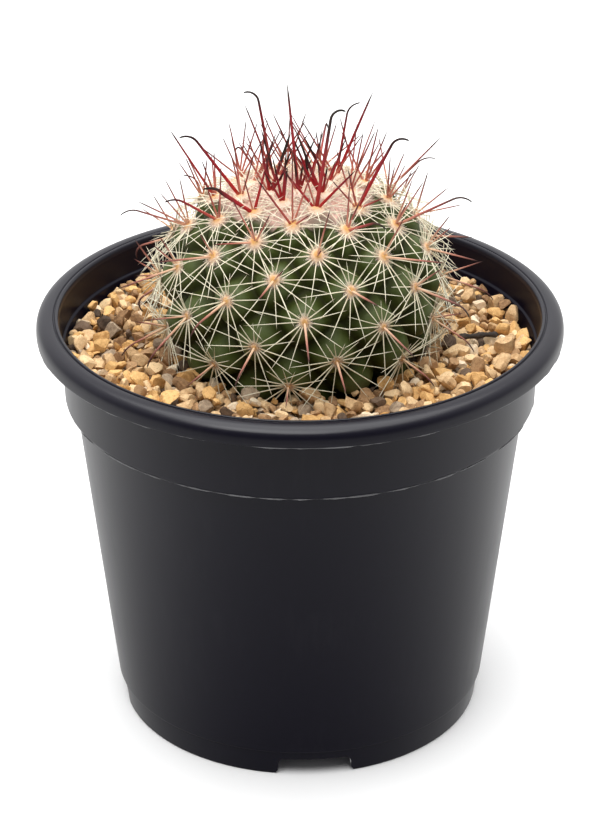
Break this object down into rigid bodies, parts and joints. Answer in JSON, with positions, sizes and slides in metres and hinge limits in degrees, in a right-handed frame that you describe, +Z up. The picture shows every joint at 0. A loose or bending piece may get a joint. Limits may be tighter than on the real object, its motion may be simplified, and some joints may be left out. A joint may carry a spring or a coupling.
{
  "type": "potted round cactus",
  "caption": "Round spiny cactus with hooked red crown spines and white radial spines, growing in tan grit in a black plastic nursery pot with a rolled rim.",
  "frame": {"origin": "on the pot's axis, in the plane the pot stands on", "axes": "+Z up along the pot's axis; the front, where the camera looks from, is -Y"},
  "size_m": [0.105, 0.105, 0.133],
  "materials": {
    "pot": "black moulded polypropylene, satin, with faint handling scuffs",
    "potting_mix": "dark gritty potting mix, hidden under the grit",
    "grit": "loose tan, ochre, grey and white grit, matte",
    "skin": "dark green waxy plant skin with a bluish bloom on the tubercles",
    "young_spine": "smooth crimson spines with near-black tips",
    "old_spine": "cream-white radial spines and tan felt",
    "twig": "dead dark twig, rough"
  },
  "bodies": {
    "root": {"cactus_body": "skin", "crown_spines": "young_spine", "grit_bed": "grit", "lower_spines_56": "old_spine", "lower_spines_57": "old_spine", "lower_spines_58": "old_spine", "lower_spines_59": "old_spine", "lower_spines_60": "old_spine", "lower_spines_61": "old_spine", "lower_spines_62": "old_spine", "lower_spines_63": "old_spine", "lower_spines_64": "old_spine", "lower_spines_65": "old_spine", "lower_spines_66": "old_spine", "lower_spines_67": "old_spine", "lower_spines_68": "old_spine", "pot": "pot", "potting_mix": "potting_mix", "spine_cluster_34": "old_spine", "spine_cluster_35": "old_spine", "spine_cluster_36": "old_spine", "spine_cluster_37": "old_spine", "spine_cluster_38": "old_spine", "spine_cluster_39": "old_spine", "spine_cluster_40": "old_spine", "spine_cluster_41": "old_spine", "spine_cluster_42": "old_spine", "spine_cluster_43": "old_spine", "spine_cluster_44": "old_spine", "spine_cluster_45": "old_spine", "spine_cluster_46": "old_spine", "spine_cluster_47": "old_spine", "spine_cluster_48": "old_spine", "spine_cluster_49": "old_spine", "spine_cluster_50": "old_spine", "spine_cluster_51": "old_spine", "spine_cluster_52": "old_spine", "spine_cluster_53": "old_spine", "spine_cluster_54": "old_spine", "spine_cluster_55": "old_spine", "twig": "twig", "upper_spines_08": "young_spine", "upper_spines_09": "young_spine", "upper_spines_10": "young_spine", "upper_spines_11": "young_spine", "upper_spines_12": "young_spine", "upper_spines_13": "young_spine", "upper_spines_14": "young_spine", "upper_spines_15": "young_spine", "upper_spines_16": "young_spine", "upper_spines_17": "young_spine", "upper_spines_18": "young_spine", "upper_spines_19": "young_spine", "upper_spines_20": "young_spine"}
  },
  "joints": []
}
